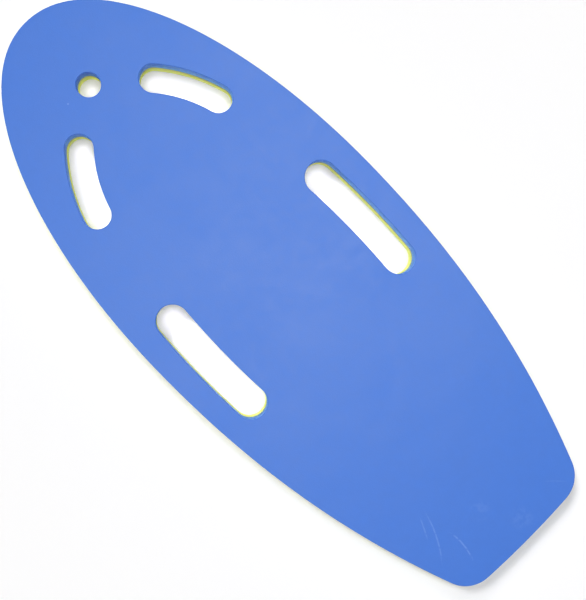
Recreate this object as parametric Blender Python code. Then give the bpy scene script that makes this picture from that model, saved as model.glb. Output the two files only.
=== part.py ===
"""A foam swimming board with the outline of a surfboard.

Two coloured foam sheets are heat-welded face to face and then die-cut in one stroke, so one
outline, four hand slots and a hanging hole run through both. The board is drawn the same way:
one flat outline with its openings, extruded to the full thickness with softened rims, and then
parted at the weld into the two sheets.

Metres, +Z up. The board lies on its underside at height 0, +X points to the nose, +Y to the
left, and the origin is under the middle of the length. A station is a distance from the tip of
the nose, measured along the centre line towards the tail.
"""

import math

import bmesh
import bpy
from mathutils import Vector

# The outline
BOARD_LENGTH = 0.800
BOARD_WIDTH = 0.3288
NOSE_TO_WIDEST = 0.3836
# Exponents of the nose's superellipse: with 2 and 2 the nose is half an ellipse.
NOSE_BLUNTNESS = 2.08
NOSE_FULLNESS = 2.07
# The sides fall from the widest station to the tail by this power: 2 is a parabola.
TAIL_TAPER_POWER = 2.13
# The tail's width is taken where the sides would meet its edge if the corners were sharp.
TAIL_WIDTH = 0.1769
TAIL_BOW = 0.0036
TAIL_CORNER_RADIUS = 0.0383

# The sheets
BOARD_THICKNESS = 0.040
TOP_SHEET_THICKNESS = 0.020
WELD_GAP = 0.0003
RIM_ROUNDING = 0.0015

# The hanging hole, on the centre line
HANGING_HOLE_DIAMETER = 0.0270
HANGING_HOLE_STATION = 0.0936

# The two hand slots beside the nose, bent like the rim
NOSE_SLOT_STATION = 0.1663
NOSE_SLOT_RIM_MARGIN = 0.0446
NOSE_SLOT_GRIP = 0.0746
NOSE_SLOT_WIDTH = 0.0315
NOSE_SLOT_BEND_RADIUS = 0.171
NOSE_SLOT_TOE_IN = 13.6

# The two long hand slots beside the widest station
SIDE_SLOT_AFT_OF_WIDEST = 0.0196
SIDE_SLOT_RIM_MARGIN = 0.0284
SIDE_SLOT_GRIP = 0.1247
SIDE_SLOT_WIDTH = 0.0373
SIDE_SLOT_BEND_RADIUS = 0.940
SIDE_SLOT_TOE_IN = 1.2

# Points along each stretch of an outline
NOSE_STEPS = 36
SIDE_STEPS = 18
CORNER_STEPS = 9
TAIL_STEPS = 5
SLOT_END_STEPS = 12
SLOT_SIDE_STEPS = 8
HOLE_STEPS = 32

# How fine the search for a tangent point is, and how near two points are one
HALVINGS = 50
SAME_POINT = 1e-6

TOP_COLOUR = (0.105, 0.245, 0.740)
BOTTOM_COLOUR = (0.730, 0.760, 0.125)
FOAM_ROUGHNESS = 0.55
SHARP_ANGLE = 35


def clear_scene():
    for thing in list(bpy.data.objects):
        bpy.data.objects.remove(thing)


def half_width(station):
    """The distance from the centre line to the edge, with sharp tail corners."""
    widest = BOARD_WIDTH / 2
    if station < NOSE_TO_WIDEST:
        ahead = 1 - station / NOSE_TO_WIDEST
        return widest * (1 - ahead**NOSE_BLUNTNESS) ** (1 / NOSE_FULLNESS)
    astern = (station - NOSE_TO_WIDEST) / (BOARD_LENGTH - TAIL_BOW - NOSE_TO_WIDEST)
    return widest - (widest - TAIL_WIDTH / 2) * astern**TAIL_TAPER_POWER


def rim_direction(station):
    """The unit vector along the left edge there, towards the tail."""
    step = BOARD_LENGTH / 1000
    growth = half_width(station + step) - half_width(station - step)
    return Vector((2 * step, growth)).normalized()


def rim_point(station):
    return Vector((station, half_width(station)))


def nose_points():
    """The left edge from the tip of the nose to just ahead of the widest station."""
    points = []
    for step in range(NOSE_STEPS):
        turn = math.pi / 2 * step / NOSE_STEPS
        along = 1 - math.cos(turn) ** (2 / NOSE_BLUNTNESS)
        across = math.sin(turn) ** (2 / NOSE_FULLNESS)
        points.append(Vector((NOSE_TO_WIDEST * along, BOARD_WIDTH / 2 * across)))
    return points


def tail_arc():
    """The centre and radius of the shallow arc that the tail edge follows."""
    half = TAIL_WIDTH / 2
    radius = (half**2 + TAIL_BOW**2) / (2 * TAIL_BOW)
    return Vector((BOARD_LENGTH - radius, 0)), radius


def corner_station():
    """The station where the tail's corner leaves the side.

    A circle of the corner's radius rolls along the inside of the side until it also touches
    the tail's arc; halving the interval finds the place.
    """
    arc_centre, arc_radius = tail_arc()
    low, high = NOSE_TO_WIDEST, BOARD_LENGTH - TAIL_BOW
    for _ in range(HALVINGS):
        middle = (low + high) / 2
        reach = (corner_centre(middle) - arc_centre).length
        if reach < arc_radius - TAIL_CORNER_RADIUS:
            low = middle
        else:
            high = middle
    return low


def corner_centre(station):
    direction = rim_direction(station)
    inward = Vector((direction.y, -direction.x))
    return rim_point(station) + TAIL_CORNER_RADIUS * inward


def arc_points(centre, radius, start, end, steps):
    """Points on an arc between two angles, both ends included."""
    angles = [start + (end - start) * step / steps for step in range(steps + 1)]
    return [centre + radius * Vector((math.cos(a), math.sin(a))) for a in angles]


def angle_of(vector):
    return math.atan2(vector.y, vector.x)


def tail_points():
    """The left edge from the widest station round the tail's corner to the centre line."""
    last = corner_station()
    stations = [
        NOSE_TO_WIDEST + (last - NOSE_TO_WIDEST) * step / SIDE_STEPS
        for step in range(SIDE_STEPS)
    ]
    centre = corner_centre(last)
    arc_centre, arc_radius = tail_arc()
    side_angle = angle_of(rim_point(last) - centre)
    tail_angle = angle_of(centre - arc_centre)
    corner = arc_points(centre, TAIL_CORNER_RADIUS, side_angle, tail_angle, CORNER_STEPS)
    edge = arc_points(arc_centre, arc_radius, tail_angle, 0, TAIL_STEPS)
    return [rim_point(station) for station in stations] + corner + edge[1:]


def board_outline():
    """The closed outline: the left edge from nose to tail, and its mirror image back."""
    left = nose_points() + tail_points()
    right = [Vector((point.x, -point.y)) for point in reversed(left[1:-1])]
    return left + right


def slot_outline(station, rim_margin, grip, width, bend_radius, toe_in):
    """A slot in the left half: a band along an arc that bulges towards the rim, with round ends.

    The rim margin is the foam left beside the slot's middle, straight out to the side. The slot
    runs along the rim's own direction there, turned in towards the nose by the toe-in, and the
    grip is the distance between the centres of its ends, along the bend.
    """
    middle = Vector((station, half_width(station) - rim_margin - width / 2))
    heading = angle_of(rim_direction(station)) + math.radians(toe_in)
    bend_centre = middle + bend_radius * Vector((math.sin(heading), -math.cos(heading)))
    outward = heading + math.pi / 2
    sweep = grip / 2 / bend_radius
    to_nose, to_tail = outward + sweep, outward - sweep
    nose_end, tail_end = arc_points(bend_centre, bend_radius, to_nose, to_tail, 1)
    half = width / 2
    outer = arc_points(bend_centre, bend_radius + half, to_nose, to_tail, SLOT_SIDE_STEPS)
    inner = arc_points(bend_centre, bend_radius - half, to_tail, to_nose, SLOT_SIDE_STEPS)
    round_tail = arc_points(tail_end, half, to_tail, to_tail - math.pi, SLOT_END_STEPS)
    round_nose = arc_points(nose_end, half, to_nose + math.pi, to_nose, SLOT_END_STEPS)
    return outer + round_tail[1:-1] + inner + round_nose[1:-1]


def hanging_hole():
    centre = Vector((HANGING_HOLE_STATION, 0))
    return arc_points(centre, HANGING_HOLE_DIAMETER / 2, 2 * math.pi, 0, HOLE_STEPS)[:-1]


def openings():
    """The outlines of the hole and of all four hand slots."""
    left_slots = [
        slot_outline(
            NOSE_SLOT_STATION,
            NOSE_SLOT_RIM_MARGIN,
            NOSE_SLOT_GRIP,
            NOSE_SLOT_WIDTH,
            NOSE_SLOT_BEND_RADIUS,
            NOSE_SLOT_TOE_IN,
        ),
        slot_outline(
            NOSE_TO_WIDEST + SIDE_SLOT_AFT_OF_WIDEST,
            SIDE_SLOT_RIM_MARGIN,
            SIDE_SLOT_GRIP,
            SIDE_SLOT_WIDTH,
            SIDE_SLOT_BEND_RADIUS,
            SIDE_SLOT_TOE_IN,
        ),
    ]
    right_slots = [
        [Vector((point.x, -point.y)) for point in reversed(slot)] for slot in left_slots
    ]
    return [hanging_hole()] + left_slots + right_slots


def add_spline(curve, points):
    """Adds a closed outline, turned from stations to the board's own axes."""
    spline = curve.splines.new("POLY")
    spline.points.add(len(points) - 1)
    for place, point in zip(spline.points, points):
        place.co = (BOARD_LENGTH / 2 - point.x, point.y, 0, 1)
    spline.use_cyclic_u = True


def die_cut_blank(collection):
    """The whole board as one mesh: the flat outline, extruded, with both rims softened."""
    rounding = min(RIM_ROUNDING, BOARD_THICKNESS / 4)
    curve = bpy.data.curves.new("die_outline", "CURVE")
    curve.dimensions = "2D"
    curve.fill_mode = "BOTH"
    curve.extrude = BOARD_THICKNESS / 2 - rounding
    curve.bevel_depth = rounding
    curve.bevel_resolution = 1
    curve.offset = -rounding
    for outline in [board_outline()] + openings():
        add_spline(curve, outline)
    guide = bpy.data.objects.new("die_outline", curve)
    guide.location.z = BOARD_THICKNESS / 2
    collection.objects.link(guide)
    bpy.context.view_layer.update()
    evaluated = guide.evaluated_get(bpy.context.evaluated_depsgraph_get())
    blank = bpy.data.meshes.new_from_object(evaluated)
    blank.transform(guide.matrix_world)
    bpy.data.objects.remove(guide)
    return blank


def cut_away(mesh, height, upward):
    """Removes what lies above or below a height and closes the cut, openings left open."""
    normal = Vector((0, 0, 1 if upward else -1))
    bm = bmesh.new()
    bm.from_mesh(mesh)
    bmesh.ops.remove_doubles(bm, verts=bm.verts, dist=SAME_POINT)
    geometry = bm.verts[:] + bm.edges[:] + bm.faces[:]
    cut = bmesh.ops.bisect_plane(
        bm, geom=geometry, plane_co=(0, 0, height), plane_no=normal, clear_outer=True
    )
    edges = [part for part in cut["geom_cut"] if isinstance(part, bmesh.types.BMEdge)]
    bmesh.ops.triangle_fill(bm, edges=edges, use_beauty=True, normal=normal)
    bmesh.ops.recalc_face_normals(bm, faces=bm.faces)
    bm.to_mesh(mesh)
    bm.free()


def foam_material(name, colour):
    material = bpy.data.materials.new(name)
    material.use_nodes = True
    shader = material.node_tree.nodes["Principled BSDF"]
    shader.inputs["Base Color"].default_value = (*colour, 1)
    shader.inputs["Roughness"].default_value = FOAM_ROUGHNESS
    shader.inputs["Metallic"].default_value = 0
    return material


def foam_sheet(collection, name, blank, height, upward, colour):
    """One sheet: the blank with the other sheet's side of the weld cut away."""
    mesh = blank.copy()
    mesh.name = name
    cut_away(mesh, height, upward)
    mesh.materials.clear()
    mesh.materials.append(foam_material(name, colour))
    mesh.shade_smooth()
    mesh.set_sharp_from_angle(angle=math.radians(SHARP_ANGLE))
    collection.objects.link(bpy.data.objects.new(name, mesh))


def build_board():
    collection = bpy.data.collections.new("swimming_board")
    bpy.context.scene.collection.children.link(collection)
    blank = die_cut_blank(collection)
    weld = BOARD_THICKNESS - TOP_SHEET_THICKNESS
    foam_sheet(collection, "top_foam_sheet", blank, weld, False, TOP_COLOUR)
    foam_sheet(collection, "bottom_foam_sheet", blank, weld - WELD_GAP, True, BOTTOM_COLOUR)
    bpy.data.meshes.remove(blank)


clear_scene()
build_board()
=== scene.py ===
# %% [markdown]
# # A foam swimming board, seen from above
#
# The board in the photograph is die-cut from two foam sheets, a blue one welded onto a yellow
# one of the same thickness. It has the outline of a surfboard, four hand slots and a hole to hang
# it by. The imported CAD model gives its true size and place. This lesson cuts two finer sheets to
# the same outline, gives them the skin and the cut walls of closed-cell foam, and lights them as
# the photograph is lit.

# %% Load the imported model
import math

import bmesh
import bpy
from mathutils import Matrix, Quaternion, Vector


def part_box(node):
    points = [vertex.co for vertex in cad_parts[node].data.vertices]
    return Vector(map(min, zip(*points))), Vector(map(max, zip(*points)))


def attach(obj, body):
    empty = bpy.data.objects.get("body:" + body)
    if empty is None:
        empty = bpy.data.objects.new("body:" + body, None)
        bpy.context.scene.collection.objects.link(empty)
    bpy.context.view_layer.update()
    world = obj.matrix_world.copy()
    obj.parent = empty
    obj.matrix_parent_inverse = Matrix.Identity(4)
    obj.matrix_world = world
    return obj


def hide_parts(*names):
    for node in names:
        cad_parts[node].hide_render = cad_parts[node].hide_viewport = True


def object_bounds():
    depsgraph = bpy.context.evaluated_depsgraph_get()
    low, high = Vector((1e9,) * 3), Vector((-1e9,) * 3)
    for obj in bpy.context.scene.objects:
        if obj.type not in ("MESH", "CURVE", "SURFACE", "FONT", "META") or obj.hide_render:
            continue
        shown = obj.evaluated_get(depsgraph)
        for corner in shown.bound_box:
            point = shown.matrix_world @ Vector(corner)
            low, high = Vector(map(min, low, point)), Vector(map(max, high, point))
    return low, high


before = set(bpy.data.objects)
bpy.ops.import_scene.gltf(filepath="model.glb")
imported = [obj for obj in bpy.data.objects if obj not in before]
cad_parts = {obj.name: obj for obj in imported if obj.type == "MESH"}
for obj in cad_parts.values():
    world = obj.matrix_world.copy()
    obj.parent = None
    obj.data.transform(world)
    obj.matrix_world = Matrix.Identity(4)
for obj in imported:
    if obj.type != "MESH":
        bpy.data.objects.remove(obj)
cad_box = [list(corner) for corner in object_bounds()]
print("CAD nodes:", sorted(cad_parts))
print("CAD box:", cad_box)

# %% [markdown]
# ## The camera
#
# The photograph was taken from about 1.1 m above the board, a little ahead of its middle and to
# its left, so some walls of each opening show and others hide. Such a perspective takes a lens
# two thirds longer than the picture on the sensor is high. The camera looks near the middle of
# the blue face and is then rolled about its own axis until the nose points to the upper left.

# %% Place the camera
EYE = Vector((0.07071, 0.06148, 1.14390))
LOOKS_AT = Vector((-0.01653, 0.00311, 0.040))
CAMERA_ROLL = math.radians(102.0)
SENSOR_MILLIMETRES = 36
LENS_MILLIMETRES = 60

camera = bpy.data.objects.new("camera", bpy.data.cameras.new("camera"))
bpy.context.scene.collection.objects.link(camera)
camera.data.sensor_width = SENSOR_MILLIMETRES
camera.data.lens = LENS_MILLIMETRES
camera.location = EYE
camera.rotation_mode = "QUATERNION"
aim = (LOOKS_AT - EYE).to_track_quat("-Z", "Y")
camera.rotation_quaternion = aim @ Quaternion((0, 0, 1), CAMERA_ROLL)
bpy.context.scene.camera = camera
print("camera to board:", round((LOOKS_AT - EYE).length, 3), "m")

# %% [markdown]
# ## The sizes of the board
#
# The overall box is read from the CAD nodes, so the two can't drift apart. The outline has a
# blunt nose that is a superellipse, sides that fall away like a parabola, and a bowed tail with
# round corners. A station is a distance from the tip of the nose towards the tail. All lengths
# are in metres.

# %% Measure the board
lowest, highest = Vector(cad_box[0]), Vector(cad_box[1])
LENGTH = highest.x - lowest.x
WIDTH = highest.y - lowest.y
TOP = highest.z
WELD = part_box("top_foam_sheet")[0].z

NOSE_TO_WIDEST = 0.3836
NOSE_BLUNTNESS = 2.08
NOSE_FULLNESS = 2.07
TAIL_TAPER_POWER = 2.13
TAIL_WIDTH = 0.1769
TAIL_BOW = 0.0036
TAIL_CORNER_RADIUS = 0.0383
HEADING_STEP = 0.0005


def half_width(station):
    """Half the board's width at a station, as if the tail's corners were sharp."""
    if station < NOSE_TO_WIDEST:
        ahead = 1 - station / NOSE_TO_WIDEST
        return WIDTH / 2 * (1 - ahead**NOSE_BLUNTNESS) ** (1 / NOSE_FULLNESS)
    astern = (station - NOSE_TO_WIDEST) / (LENGTH - TAIL_BOW - NOSE_TO_WIDEST)
    return WIDTH / 2 - (WIDTH - TAIL_WIDTH) / 2 * astern**TAIL_TAPER_POWER


def rim(station):
    """The point of the left rim at a station, in the board's own axes."""
    return Vector((LENGTH / 2 - station, half_width(station), 0))


def rim_heading(station):
    """The direction of the left rim there, towards the tail, of length 1."""
    return (rim(station + HEADING_STEP) - rim(station - HEADING_STEP)).normalized()


print("board:", [round(size * 1000, 1) for size in (LENGTH, WIDTH, TOP)], "mm, weld at", WELD)

# %% [markdown]
# ## The outline, drawn with a pen
#
# A cutting die is a steel strip bent to shape, so the outline is one line with no thickness. A
# single vertex is the pen: it is extruded from station to station along the left rim, and each
# arc is a spin about the arc's centre. The tail corner's centre is found by rolling a circle
# along the inside of the rim until it also touches the bowed tail.

# %% Draw the rim
NOSE_STEPS = 90
SIDE_STEPS = 44
CORNER_STEPS = 20
TAIL_STEPS = 10
STATION_PRECISION = 1e-9
UP = Vector((0, 0, 1))


def pen_line(bm, pen, place):
    """Draws a straight edge from the pen to a place, and returns the pen there."""
    drawn = bmesh.ops.extrude_vert_indiv(bm, verts=[pen])["verts"][0]
    drawn.co = place
    return drawn


def pen_arc(bm, pen, centre, angle, steps):
    """Draws an arc about a centre, anticlockwise if the angle is positive."""
    swept = bmesh.ops.spin(
        bm, geom=[pen], cent=centre, axis=UP, dvec=(0, 0, 0), angle=angle, steps=steps
    )
    return next(part for part in swept["geom_last"] if isinstance(part, bmesh.types.BMVert))


def corner_centre(station):
    """The centre of a tail corner's circle that touches the inside of the rim there."""
    heading = rim_heading(station)
    return rim(station) + TAIL_CORNER_RADIUS * Vector((-heading.y, heading.x, 0))


def draw_rim(bm):
    """Draws the left half of the rim, from the tip of the nose to the middle of the tail."""
    tail_radius = ((TAIL_WIDTH / 2) ** 2 + TAIL_BOW**2) / (2 * TAIL_BOW)
    tail_centre = Vector((tail_radius - LENGTH / 2, 0, 0))
    last, far = NOSE_TO_WIDEST, LENGTH - TAIL_BOW
    while far - last > STATION_PRECISION:
        middle = (last + far) / 2
        reach = (corner_centre(middle) - tail_centre).length + TAIL_CORNER_RADIUS
        last, far = (middle, far) if reach < tail_radius else (last, middle)

    turns = [math.pi / 2 * step / NOSE_STEPS for step in range(1, NOSE_STEPS)]
    nose = [NOSE_TO_WIDEST * (1 - math.cos(turn) ** (2 / NOSE_BLUNTNESS)) for turn in turns]
    shares = [step / SIDE_STEPS for step in range(SIDE_STEPS + 1)]
    side = [NOSE_TO_WIDEST + (last - NOSE_TO_WIDEST) * share for share in shares]

    pen = bmesh.ops.create_vert(bm, co=rim(0))["vert"][0]
    for station in nose + side:
        pen = pen_line(bm, pen, rim(station))
    centre = corner_centre(last)
    to_tail = centre - tail_centre
    turn = (rim(last) - centre).angle(to_tail)
    pen = pen_arc(bm, pen, centre, turn, CORNER_STEPS)
    pen_arc(bm, pen, tail_centre, to_tail.angle(Vector((-1, 0, 0))), TAIL_STEPS)
    print("tail corner:", round(math.degrees(turn), 1), "degrees, from station", round(last, 4))


# %% [markdown]
# ## The hand slots and the hanging hole
#
# Each hand slot is a band along an arc that bulges towards the rim, with half-round ends. With
# the pen that is four spins: along the outer side, round one end, back along the inner side and
# round the other end. A slot keeps its distance from the rim and runs along the rim's own
# heading, turned in a little towards the nose. The hanging hole is a plain circle.

# %% Draw the openings
SLOT_SIDE_STEPS = 24
SLOT_END_STEPS = 28
HOLE_STEPS = 64
HOLE_DIAMETER = 0.0270
HOLE_STATION = 0.0936
MERGE_DISTANCE = 0.00001
NOSE_SLOT = {
    "station": 0.1663,
    "rim_margin": 0.0446,
    "grip": 0.0746,
    "width": 0.0315,
    "bend_radius": 0.171,
    "toe_in": 13.6,
}
SIDE_SLOT = {
    "station": NOSE_TO_WIDEST + 0.0196,
    "rim_margin": 0.0284,
    "grip": 0.1247,
    "width": 0.0373,
    "bend_radius": 0.940,
    "toe_in": 1.2,
}


def draw_slot(bm, station, rim_margin, grip, width, bend_radius, toe_in):
    """A slot in the left half: its place, its size, and its turn towards the nose in degrees.

    The grip is the bend's length between the centres of the slot's round ends.
    """
    heading = Quaternion(UP, math.radians(-toe_in)) @ rim_heading(station)
    outward = Vector((heading.y, -heading.x, 0))
    middle = rim(station) - Vector((0, rim_margin + width / 2, 0))
    bend_centre = middle - outward * bend_radius
    sweep = grip / bend_radius
    to_nose = Quaternion(UP, -sweep / 2) @ outward
    to_tail = Quaternion(UP, sweep / 2) @ outward
    start = bend_centre + to_nose * (bend_radius + width / 2)
    pen = bmesh.ops.create_vert(bm, co=start)["vert"][0]
    pen = pen_arc(bm, pen, bend_centre, sweep, SLOT_SIDE_STEPS)
    pen = pen_arc(bm, pen, bend_centre + to_tail * bend_radius, math.pi, SLOT_END_STEPS)
    pen = pen_arc(bm, pen, bend_centre, -sweep, SLOT_SIDE_STEPS)
    pen_arc(bm, pen, bend_centre + to_nose * bend_radius, math.pi, SLOT_END_STEPS)


def draw_hanging_hole(bm):
    """Draws the round hole on the centre line."""
    hole = bmesh.ops.create_circle(bm, segments=HOLE_STEPS, radius=HOLE_DIAMETER / 2)
    place = Vector((LENGTH / 2 - HOLE_STATION, 0, 0))
    bmesh.ops.translate(bm, verts=hole["verts"], vec=place)


# %% [markdown]
# ## The blank
#
# Mirroring the pen's lines across the centre line closes every outline. One triangle fill turns
# them into a flat blank: it fills between the rim and the openings and leaves those open.

# %% Cut the blank
def cut_blank():
    """A flat mesh with the board's outline and all its openings, at height 0, facing up."""
    bm = bmesh.new()
    draw_rim(bm)
    draw_slot(bm, **NOSE_SLOT)
    draw_slot(bm, **SIDE_SLOT)
    bmesh.ops.mirror(bm, geom=bm.verts[:] + bm.edges[:], axis="Y", merge_dist=0)
    draw_hanging_hole(bm)
    bmesh.ops.remove_doubles(bm, verts=bm.verts, dist=MERGE_DISTANCE)
    bmesh.ops.triangle_fill(bm, use_beauty=True, edges=bm.edges, normal=UP)
    bmesh.ops.recalc_face_normals(bm, faces=bm.faces)
    if bm.faces[:][0].normal.z < 0:
        bmesh.ops.reverse_faces(bm, faces=bm.faces)
    area = sum(face.calc_area() for face in bm.faces)
    print("blank:", len(bm.verts), "points,", round(area * 1e4, 1), "cm2")
    return bm


blank = cut_blank()

# %% [markdown]
# ## From blank to sheet
#
# A sheet is the blank raised in rings. Each ring is an inset of a whole face with a depth, so a
# few small insets along a quarter circle roll the rim over, round the outside and round every
# opening alike. The last inset has no depth: its flat ring keeps the smooth shading of the
# rolled rim off the flat face. The weld's edge is rolled in the same way, but hardly at all, so
# the weld shows as a hairline between the colours.

# %% Raise a sheet
RIM_RADIUS = 0.0008
RIM_STEPS = 5
WELD_RADIUS = 0.0002
WELD_STEPS = 2
FLAT_RING = 0.0006


def rounding(radius, steps):
    """The insets and rises that turn a wall into a flat face along a quarter circle."""
    turns = [math.pi / 2 * step / steps for step in range(steps + 1)]
    return [
        (radius * (math.cos(a) - math.cos(b)), radius * (math.sin(b) - math.sin(a)))
        for a, b in zip(turns, turns[1:])
    ]


def roll_rim(bm, faces, radius, steps):
    """Rounds the edge of a flat face, outside and round its openings, and flattens a ring."""
    for thickness, depth in rounding(radius, steps) + [(FLAT_RING, 0)]:
        bmesh.ops.inset_region(
            bm,
            faces=faces,
            use_boundary=True,
            use_even_offset=True,
            thickness=thickness,
            depth=depth,
        )


def raise_sheet(thickness):
    """A closed sheet on height 0: the weld face below, the skin above."""
    bm = blank.copy()
    weld_face = bm.faces[:]
    raised = bmesh.ops.extrude_face_region(bm, geom=weld_face, use_keep_orig=True)["geom"]
    skin = [part for part in raised if isinstance(part, bmesh.types.BMFace)]
    wall = Vector((0, 0, thickness - RIM_RADIUS - WELD_RADIUS))
    lifted = [part for part in raised if isinstance(part, bmesh.types.BMVert)]
    bmesh.ops.translate(bm, verts=lifted, vec=wall)
    bmesh.ops.reverse_faces(bm, faces=weld_face)
    roll_rim(bm, skin, RIM_RADIUS, RIM_STEPS)
    roll_rim(bm, weld_face, WELD_RADIUS, WELD_STEPS)
    bmesh.ops.translate(bm, verts=bm.verts, vec=(0, 0, WELD_RADIUS))
    return bm


# %% [markdown]
# ## Shader maths as Python
#
# A finish is many small patterns laid over each other, and as nodes it soon turns into a web
# that is hard to read. A small class can wrap a socket instead. Patterns are then added,
# subtracted and multiplied like numbers, and each operator adds its own Math node. Every other
# node comes from one method, which sets the node up first and then fills in its sockets.

# %% Wrap a socket
class Signal:
    """A value that varies over a surface. Arithmetic on it adds Math nodes."""

    def __init__(self, tree, socket=None):
        self.tree = tree
        self.socket = socket

    def node(self, kind, settings, inputs, output=0):
        """Adds a node: its settings first, then the values or links of its sockets."""
        made = self.tree.nodes.new("ShaderNode" + kind)
        for name, value in settings.items():
            setattr(made, name, value)
        for name, value in inputs.items():
            if isinstance(value, Signal):
                self.tree.links.new(value.socket, made.inputs[name])
            else:
                made.inputs[name].default_value = value
        return Signal(self.tree, made.outputs[output])

    def math(self, operation, first, second=0):
        """Adds a Math node for one operation."""
        return self.node("Math", {"operation": operation}, {0: first, 1: second})

    def __add__(self, other):
        return self.math("ADD", self, other)

    def __sub__(self, other):
        return self.math("SUBTRACT", self, other)

    def __rsub__(self, other):
        return self.math("SUBTRACT", other, self)

    def __mul__(self, other):
        return self.math("MULTIPLY", self, other)

    def __abs__(self):
        return self.math("ABSOLUTE", self)

    __radd__, __rmul__ = __add__, __mul__


# %% [markdown]
# ## Patterns in millimetres
#
# Foam has no grain that runs one way, so soft noise in a few sizes does for most of it. A fade
# turns any value into a mask with soft edges, and a blend lays one colour over another through
# a mask. Everything reads the place on the board in metres, so a pattern has its true size and
# stays where it is when the board is turned.

# %% Name the patterns
MILLIMETRE = 0.001


def noise(place, size, detail=1):
    """Soft blobs of about that size, with values around 0.5."""
    return place.node("TexNoise", {}, {"Vector": place, "Scale": 1 / size, "Detail": detail})


def stretched(place, x, y, z):
    """The place times a factor for each axis. A small factor draws a pattern out that way."""
    return place.node("Mapping", {}, {"Vector": place, "Scale": (x, y, z)})


def distance(place, point):
    """How far the place is from a point."""
    return place.node("VectorMath", {"operation": "DISTANCE"}, {0: place, 1: point}, "Value")


def fade(value, start, end):
    """0 at the start value, 1 at the end value and smooth in between."""
    settings = {"interpolation_type": "SMOOTHSTEP"}
    return value.node("MapRange", settings, {"Value": value, "From Min": start, "From Max": end})


def blend(mask, under, over):
    """The under colour where the mask is 0, and the over colour where it is 1."""
    # A Mix node has a set of sockets for each type of data. Inputs 6 and 7 and output 2 are the
    # ones for colours.
    return mask.node("Mix", {"data_type": "RGBA"}, {0: mask, 6: under, 7: over}, 2)


def toned(colour, factor):
    """A lighter or darker tone of a colour, with the alpha that a node's socket needs."""
    return (*(channel * factor for channel in colour), 1)


def new_finish(name):
    """A new material, its shader and the place of the point that is shaded."""
    material = bpy.data.materials.new(name)
    material.use_nodes = True
    place = Signal(material.node_tree).node("TexCoord", {}, {}, "Object")
    return material, material.node_tree.nodes["Principled BSDF"], place


def give(shader, **signals):
    """Links signals to the shader's sockets, with _ in a name for its space."""
    for name, signal in signals.items():
        socket = shader.inputs[name.replace("_", " ")]
        signal.tree.links.new(signal.socket, socket)


# %% [markdown]
# ## The skin of the foam
#
# Foam sheet comes from its press with a closed, satin skin. Close up the skin is pebbled by the
# cells under it, each about a millimetre across and raised by a few hundredths, and the sheet
# itself is never quite flat. Modelled pebbles would take millions of faces and nothing of them
# breaks the outline, so bump maps do for both. The colour is even, with clouds so faint that
# one would only miss them.

# %% Make the skin
SKIN_ROUGHNESS = 0.42
PEBBLE_SIZE = 1.3 * MILLIMETRE
PEBBLE_HEIGHT = 0.08 * MILLIMETRE
SWELL_SIZE = 35 * MILLIMETRE
SWELL_HEIGHT = 0.4 * MILLIMETRE
SMALL_CLOUD = 9 * MILLIMETRE
LARGE_CLOUD = 60 * MILLIMETRE
DARKEST_CLOUD = 0.94
LIGHTEST_CLOUD = 1.06


def foam_skin(name, colour, worn_colour, wear):
    """The satin face of a sheet. The wear is a function from the place to a mask."""
    material, shader, place = new_finish(name)
    pebbles = noise(place, PEBBLE_SIZE)
    swell = noise(place, SWELL_SIZE)
    clouds = noise(place, SMALL_CLOUD, detail=3) * 0.6 + noise(place, LARGE_CLOUD) * 0.4
    worn = wear(place)

    tone = blend(clouds, toned(colour, DARKEST_CLOUD), toned(colour, LIGHTEST_CLOUD))
    pebbled = pebbles.node("Bump", {}, {"Distance": PEBBLE_HEIGHT, "Height": pebbles})
    relief = {"Distance": SWELL_HEIGHT, "Height": swell, "Normal": pebbled}
    give(
        shader,
        Base_Color=blend(worn, tone, (*worn_colour, 1)),
        Roughness=SKIN_ROUGHNESS + (clouds - 0.5) * 0.2 + worn * 0.15,
        Normal=swell.node("Bump", {}, relief),
    )
    print(name, "nodes:", len(material.node_tree.nodes))
    return material


# %% [markdown]
# ## The marks of use
#
# Something has drawn thin, curved lines through the skin near the tail, and pale scuffs lie
# beside them. A texture could be painted for them, but a line is easily worked out: an arc
# through three places is wherever the distance to its centre equals its radius. The mark fades
# towards the arc's ends, and noise breaks it up. A white speck lies beside the hanging hole. The
# underside is dragged over pool edges, so it has short streaks along the board instead.
#
# A scratch below is three places on the blue face, its reach to either side of the arc, and its
# strength. A scuff is its middle and its radius. They are in millimetres, and a place is counted
# from the middle of the board, ahead and then to the left.

# %% Mark the deck and the underside
SCRATCHES = [
    ((-327.4, 59.0), (-351.6, 57.5), (-376.5, 64.1), 1.3, 0.35),
    ((-292.7, 62.6), (-322.4, 73.2), (-354.0, 94.0), 1.3, 0.28),
    ((-290.1, 69.9), (-305.0, 76.4), (-318.0, 82.8), 1.3, 0.24),
    ((-363.9, -56.7), (-375.0, -68.8), (-387.6, -79.6), 1.0, 0.12),
]
SCUFFS = [((-335.9, 16.5), 16), ((-377.2, -11.4), 18)]
SCUFF_STRENGTH = 0.10
SPECK = ((306.3, 30.4), 1.4)
SPECK_STRENGTH = 0.5


def arc_centre(first, second, third):
    """The centre of the circle through three places."""
    a, b = first - third, second - third
    across = a.cross(b)
    spread = a.length_squared * b - b.length_squared * a
    return third + spread.cross(across) / (2 * across.length_squared)


def on_deck(x, y):
    """A place on the blue face, from its millimetres."""
    return Vector((x * MILLIMETRE, y * MILLIMETRE, TOP))


def scratch(place, first, second, third, reach, strength):
    """A thin line along an arc, strongest at its second place."""
    first, second, third = on_deck(*first), on_deck(*second), on_deck(*third)
    centre = arc_centre(first, second, third)
    off_line = abs(distance(place, centre) - (second - centre).length)
    line = fade(off_line, reach * MILLIMETRE, 0.2 * reach * MILLIMETRE)
    ends = max((first - second).length, (third - second).length)
    return line * fade(distance(place, second), ends, 0.3 * ends) * strength


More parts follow.
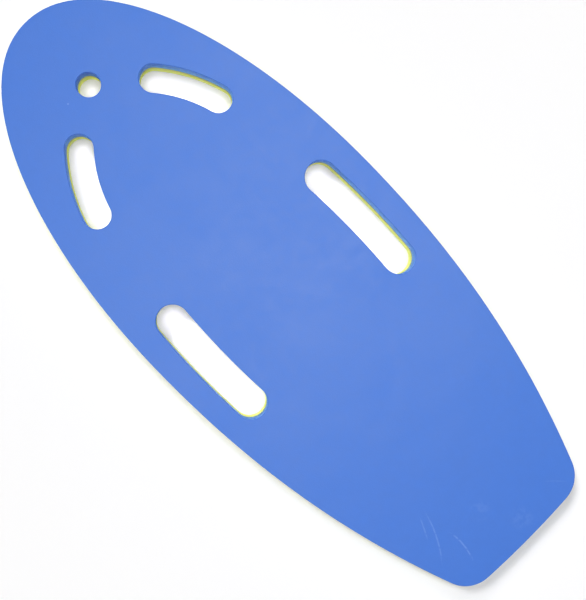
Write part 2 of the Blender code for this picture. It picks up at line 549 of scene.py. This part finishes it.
def scuff(place, middle, radius):
    """A soft pale spot."""
    off_middle = distance(place, on_deck(*middle))
    return fade(off_middle, radius * MILLIMETRE, 0.2 * radius * MILLIMETRE)


def deck_wear(place):
    """How worn the blue face is, from 0 to 1."""
    lines = sum(scratch(place, *mark) for mark in SCRATCHES)
    lines = lines * fade(noise(place, 4 * MILLIMETRE), 0.25, 0.55)
    spots = sum(scuff(place, *mark) for mark in SCUFFS) * SCUFF_STRENGTH
    spots = spots * fade(noise(place, 6 * MILLIMETRE, detail=2), 0.40, 0.65)
    return lines + spots + scuff(place, *SPECK) * SPECK_STRENGTH


def underside_wear(place):
    """How worn the yellow face is, from 0 to 1."""
    streaks = noise(stretched(place, 0.08, 1, 1), 1.2 * MILLIMETRE)
    patches = fade(noise(place, 50 * MILLIMETRE), 0.45, 0.65)
    return fade(streaks, 0.58, 0.75) * patches * 0.5


# %% [markdown]
# ## The cut walls
#
# The die opens the cells that it cuts through, so a wall is paler than the skin and almost
# matt, and it keeps faint upright streaks from the blade. Its colour is made lighter still, as
# painted light on the walls of the openings. Voronoi cells look like foam cut open, with their
# hollows in a darker tone, which is painted shade, and noise drawn out along the board's height
# gives the streaks. The openings show their walls at a flat angle, at which any gloss turns
# pale, so its strength matters as much as the roughness. Foam also lets a little light through:
# what enters by the skin leaves by the walls in the foam's own colour, and a faint painted glow
# stands in for it.

# %% Make the cut wall
CUT_ROUGHNESS = 0.75
CUT_GLOSS = 0.35
CELL_SIZE = 0.9 * MILLIMETRE
CELL_DEPTH = 0.12 * MILLIMETRE
BLADE_STREAK = 1.5 * MILLIMETRE
SHADED_HOLLOW_TONE = 0.88


def foam_cut(name, colour, inner_glow):
    """The matt wall that the die leaves, and the light that comes through it."""
    material, shader, place = new_finish(name)
    cells = place.node("TexVoronoi", {}, {"Vector": place, "Scale": 1 / CELL_SIZE})
    streaks = noise(stretched(place, 1, 1, 0.05), BLADE_STREAK)
    # The hollows of the cells, where the bump sinks, get a darker tone: painted shade. The blade's
    # streaks lighten it.
    cell_shade_and_streaks = cells * 0.7 + streaks * 0.6
    height = {"Distance": CELL_DEPTH, "Height": cells + streaks * 0.5}
    give(
        shader,
        Base_Color=blend(cell_shade_and_streaks, toned(colour, SHADED_HOLLOW_TONE), toned(colour, 1)),
        Roughness=CUT_ROUGHNESS + (streaks - 0.5) * 0.2,
        Normal=cells.node("Bump", {}, height),
    )
    shader.inputs["Specular IOR Level"].default_value = CUT_GLOSS
    shader.inputs["Emission Color"].default_value = (*inner_glow, 1)
    shader.inputs["Emission Strength"].default_value = 1
    print(name, "nodes:", len(material.node_tree.nodes))
    return material


# %% [markdown]
# ## Two sheets
#
# The blue sheet lies on the yellow one, which is the same sheet turned over by a negative
# scale. That turns a mesh inside out as well, so its normals are worked out again. Each sheet
# has two finishes, and a face takes the skin or the cut by where it looks. A sheet's place goes
# into its mesh and its object stays at the origin, because the patterns read object
# coordinates. Both sheets are one body.

# %% Place the sheets
# The cut colours are paler than the skins, as open cells are, and lighter still as painted light
# on the walls of the openings.
BLUE = (0.039, 0.165, 0.630)
BLUE_SCUFFED = (0.240, 0.400, 0.800)
BLUE_CUT_PAINTED_LIGHTER = (0.200, 0.480, 1.000)
BLUE_GLOW = (0.000, 0.000, 0.130)
YELLOW = (0.730, 0.760, 0.125)
YELLOW_SCUFFED = (0.800, 0.810, 0.350)
YELLOW_CUT_PAINTED_LIGHTER = (0.980, 1.000, 0.300)
YELLOW_GLOW = (0.030, 0.030, 0.000)
HAIRLINE = 0.1 * MILLIMETRE


def foam_piece(name, bm, node, skin, cut):
    """Makes the sheet an object of the model, in the place of one CAD node."""
    bmesh.ops.recalc_face_normals(bm, faces=bm.faces)
    for face in bm.faces:
        looks_up_or_down = abs(face.normal.z) > 0.5
        face.material_index = 0 if looks_up_or_down else 1
        face.smooth = True
    closed = all(len(edge.link_faces) == 2 for edge in bm.edges)
    litres = round(bm.calc_volume() * 1000, 2)
    mesh = bpy.data.meshes.new(name)
    bm.to_mesh(mesh)
    bm.free()
    mesh.materials.append(skin)
    mesh.materials.append(cut)
    piece = bpy.data.objects.new(name, mesh)
    bpy.context.scene.collection.objects.link(piece)
    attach(piece, "root")
    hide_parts(node)
    print(name, "closed:", closed, "litres:", litres, "faces:", len(mesh.polygons))


bm = raise_sheet(TOP - WELD)
bmesh.ops.translate(bm, verts=bm.verts, vec=(0, 0, WELD))
skin = foam_skin("blue_foam_skin", BLUE, BLUE_SCUFFED, deck_wear)
cut = foam_cut("blue_foam_cut", BLUE_CUT_PAINTED_LIGHTER, BLUE_GLOW)
foam_piece("blue_foam_sheet", bm, "top_foam_sheet", skin, cut)

bm = raise_sheet(WELD - HAIRLINE)
bmesh.ops.scale(bm, verts=bm.verts, vec=(1, 1, -1))
bmesh.ops.translate(bm, verts=bm.verts, vec=(0, 0, WELD - HAIRLINE))
skin = foam_skin("yellow_foam_skin", YELLOW, YELLOW_SCUFFED, underside_wear)
cut = foam_cut("yellow_foam_cut", YELLOW_CUT_PAINTED_LIGHTER, YELLOW_GLOW)
foam_piece("yellow_foam_sheet", bm, "bottom_foam_sheet", skin, cut)
blank.free()

# %% [markdown]
# ## The white floor
#
# The photograph's background is pure white, and yet the board keeps a soft shadow on it. A floor
# that only glows would lose the shadow, and stronger lamps would bleach the board. So the floor
# is white paint, and what the camera and reflections see of it is a little lighter and less blue
# than what lights the board: the Light Path node tells the two kinds of ray apart.
#
# Two glows are added for those rays. Far from the board the overhead lamp hardly reaches the
# floor, and a faint glow keeps it white up to the horizon. In the openings the photograph's floor
# is shaded only along the walls and white in the middle, whiter than any lamps leave it. So in an
# ellipse under the board, which holds all the openings, the glow grows with the openness of the
# place: the Ambient Occlusion node says how much of its surroundings are free. A trace of blue
# along the walls takes away the yellow that they throw on the floor.

# %% Lay the floor
FLOOR_REACH = 6
FLOOR_HEIGHT = -0.2 * MILLIMETRE
FLOOR_BOUNCE = (0.88, 0.91, 1.00, 1)
FLOOR_SEEN = (1.02, 1.015, 1.02, 1)
NO_GLOW = (0, 0, 0, 1)
FAR_GLOW = (0.12, 0.12, 0.12, 1)
FAR_GLOW_STARTS = 0.7
FAR_GLOW_FULL = 2
FOOT_GLOW = (0.02, 0.00, 0.16, 1)
OPEN_GLOW = (0.38, 0.34, 0.52, 1)
OPEN_REACH = 12 * MILLIMETRE
HALF_OPEN = 0.5
ELLIPSE_HALF_LENGTH = 0.37
ELLIPSE_HALF_WIDTH = 0.15
ELLIPSE_SOFT_FROM = 0.9
MIDDLE = (0, 0, 0)


def seen_rays(tree):
    """1 for rays that show a surface, 0 for rays that carry its light to other surfaces."""
    camera_ray = Signal(tree).node("LightPath", {}, {}, "Is Camera Ray")
    glossy_ray = Signal(tree).node("LightPath", {}, {}, "Is Glossy Ray")
    clear_ray = Signal(tree).node("LightPath", {}, {}, "Is Transmission Ray")
    return camera_ray + glossy_ray + clear_ray


bm = bmesh.new()
bmesh.ops.create_grid(bm, x_segments=1, y_segments=1, size=FLOOR_REACH)
bmesh.ops.translate(bm, verts=bm.verts, vec=(0, 0, FLOOR_HEIGHT))
floor_mesh = bpy.data.meshes.new("floor")
bm.to_mesh(floor_mesh)
bm.free()
floor = bpy.data.objects.new("floor", floor_mesh)
bpy.context.scene.collection.objects.link(floor)

paint, shader, place = new_finish("white_floor_paint")
seen = seen_rays(paint.node_tree)
shade = blend(seen, FLOOR_BOUNCE, FLOOR_SEEN)
far = fade(distance(place, MIDDLE), FAR_GLOW_STARTS, FAR_GLOW_FULL)
in_ellipse = stretched(place, 1 / ELLIPSE_HALF_LENGTH, 1 / ELLIPSE_HALF_WIDTH, 1)
under = fade(distance(in_ellipse, MIDDLE), 1, ELLIPSE_SOFT_FROM)
open_air = place.node("AmbientOcclusion", {}, {"Distance": OPEN_REACH}, "AO")
glow = blend(far, NO_GLOW, FAR_GLOW)
slot_glow = blend(fade(open_air, HALF_OPEN, 1), FOOT_GLOW, OPEN_GLOW)
glow = blend(under, glow, slot_glow)
glow = blend(seen, NO_GLOW, glow)
give(shader, Base_Color=shade, Emission_Color=glow)
shader.inputs["Emission Strength"].default_value = 1
shader.inputs["Roughness"].default_value = 1
shader.inputs["Specular IOR Level"].default_value = 0
floor_mesh.materials.append(paint)
print("floor:", floor.name, "at", FLOOR_HEIGHT / MILLIMETRE, "mm")

# %% [markdown]
# ## The light
#
# The shadow at the tail starts narrow and dark and ends about a finger's width out, so much of
# the light comes from ahead of the nose, at about 55 degrees, from a source that isn't wide.
# The long sides show almost no shadow, so the rest is soft and comes from nearly overhead. Suns
# with a wide angle behave like large softboxes far away. The blue face is palest in the middle
# and deeper at both ends, which is the satin skin's gleam from above, so the low lamps are kept
# out of reflections and a square lamp above adds to that gleam. Together the lamps light a
# level surface at a strength of about 1, at which a colour looks as it is written.

# %% Set the lamps
# A softbox is its height and bearing in degrees (the bearing turns from the nose to the left
# side), the angle that it fills, and its strength.
SOFTBOXES = [
    (56, 0, 10, 0.380),
    (48, 340, 14, 0.150),
    (50, 45, 30, 0.034),
    (70, 90, 30, 0.191),
    (75, 300, 14, 0.139),
    (80, 240, 14, 0.120),
]
REFLECTED_ABOVE = 60
OVERHEAD_WATTS = 4.6
OVERHEAD_SIZE = 0.8
OVERHEAD_PLACE = Vector((-0.19, -0.11, 2.2))


def softbox(height, bearing, spread, strength):
    """Sets up one lamp and returns what it adds to the light on a level surface."""
    rise, turn = math.radians(height), math.radians(bearing)
    across = math.cos(rise)
    towards = Vector((across * math.cos(turn), across * math.sin(turn), math.sin(rise)))
    lamp = bpy.data.objects.new("softbox", bpy.data.lights.new("softbox", "SUN"))
    lamp.data.energy = strength * math.pi
    lamp.data.angle = math.radians(spread)
    lamp.visible_glossy = height > REFLECTED_ABOVE
    lamp.rotation_mode = "QUATERNION"
    lamp.rotation_quaternion = (-towards).to_track_quat("-Z", "Y")
    bpy.context.scene.collection.objects.link(lamp)
    return strength * math.sin(rise)


level = sum(softbox(*setting) for setting in SOFTBOXES)

square = bpy.data.objects.new("overhead", bpy.data.lights.new("overhead", "AREA"))
square.data.shape = "SQUARE"
square.data.size = OVERHEAD_SIZE
square.data.energy = OVERHEAD_WATTS
square.location = OVERHEAD_PLACE
bpy.context.scene.collection.objects.link(square)
height = OVERHEAD_PLACE.z - TOP
level += OVERHEAD_WATTS / (math.pi**2 * height**2)
print("light on a level white surface:", round(level, 2))

# %% [markdown]
# ## The world behind it
#
# The lamps do nearly all the lighting. The world shows only to the rays that show a surface, and
# there it is white: past the floor's edge in a low view, and as a faint sheen on the skin.

# %% Whiten the world
world = bpy.data.worlds.new("studio")
bpy.context.scene.world = world
world.use_nodes = True
whiteness = seen_rays(world.node_tree)
backdrop = world.node_tree.nodes["Background"]
backdrop.inputs["Color"].default_value = (1, 1, 1, 1)
give(backdrop, Strength=whiteness)
bpy.context.scene.view_settings.view_transform = "Standard"
print("world nodes:", len(world.node_tree.nodes))
